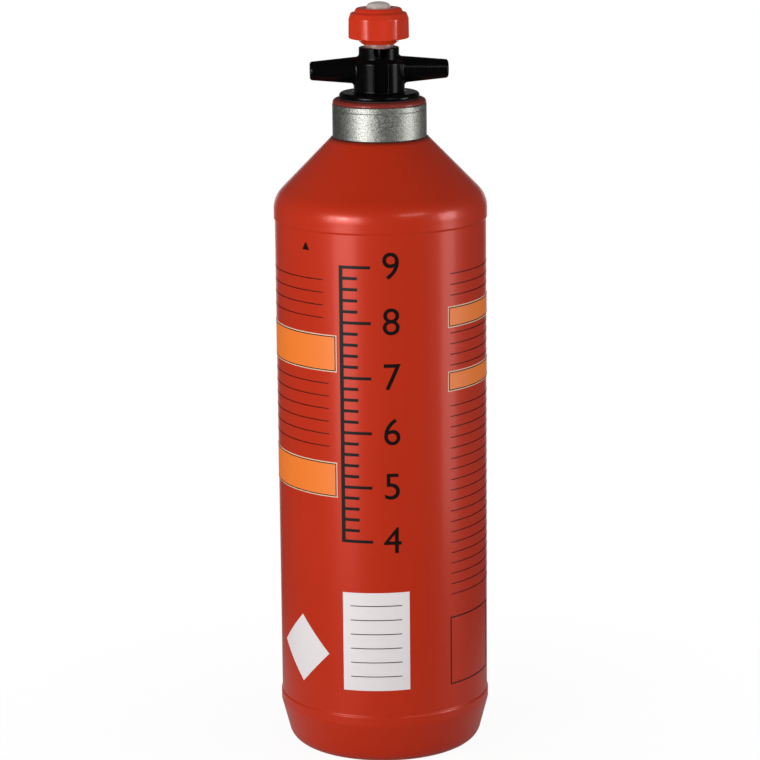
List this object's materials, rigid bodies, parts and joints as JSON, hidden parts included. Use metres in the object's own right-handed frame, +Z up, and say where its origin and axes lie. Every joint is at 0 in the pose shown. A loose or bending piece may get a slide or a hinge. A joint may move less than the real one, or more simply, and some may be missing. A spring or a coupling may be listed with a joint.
{
  "type": "camping fuel bottle",
  "caption": "Tall round plastic fuel bottle with a ringed neck and a winged screw stopper, whose lobed knob is pressed to open a spring-loaded pouring valve.",
  "frame": {"origin": "middle of the foot ring, on the plane the bottle stands on", "axes": "+Z up along the bottle's axis, -Y towards the printed front, +X to the right of the front view"},
  "size_m": [0.0814, 0.0814, 0.2888],
  "materials": {
    "red_polyethylene": "satin moulded",
    "ring_aluminium": "satin, finely grained",
    "black_nylon": "glossy moulded",
    "orange_nylon": "glossy moulded",
    "natural_acetal": "natural, slightly translucent",
    "seal_rubber": "matt",
    "spring_steel": "bright drawn"
  },
  "bodies": {
    "bottle": {"bottle_body": "red_polyethylene", "neck_ring": "ring_aluminium"},
    "gasket": {"stopper_gasket": "seal_rubber"},
    "stopper": {"stopper_body": "black_nylon", "valve_cage": "black_nylon", "return_spring": "spring_steel"},
    "stem": {"stem_sleeve": "natural_acetal", "stem_cap": "natural_acetal", "valve_rod": "spring_steel", "valve_poppet": "natural_acetal", "poppet_seal": "seal_rubber", "poppet_clip": "spring_steel"},
    "knob_seal": {"knob_seal": "seal_rubber"},
    "knob": {"control_knob": "orange_nylon"}
  },
  "joints": [
    {"name": "stopper_lift", "type": "slide", "parent": "bottle", "child": "gasket", "axis": [0, 0, 1], "range_m": [0, 0.018]},
    {"name": "stopper_turn", "type": "hinge", "parent": "gasket", "child": "stopper", "pos_m": [0, 0, 0.2534], "axis": [0, 0, 1], "range_deg": [0, 1620]},
    {"name": "valve_press", "type": "slide", "parent": "stopper", "child": "stem", "axis": [0, 0, -1], "range_m": [0, 0.0007], "stiffness_N_per_m": 1500, "springref_m": -0.003, "deforming": ["return_spring"]},
    {"name": "knob_lower", "type": "slide", "parent": "stem", "child": "knob_seal", "axis": [0, 0, 1], "range_m": [-0.0005, 0]},
    {"name": "knob_turn", "type": "hinge", "parent": "knob_seal", "child": "knob", "pos_m": [0, 0, 0.28], "axis": [0, 0, 1], "range_deg": [-90, 0]}
  ],
  "couplings": [
    {"joint": "stopper_lift", "follows": "stopper_turn", "m_per_rad": 0.00063662},
    {"joint": "knob_lower", "follows": "knob_turn", "m_per_rad": 0.00031831}
  ]
}
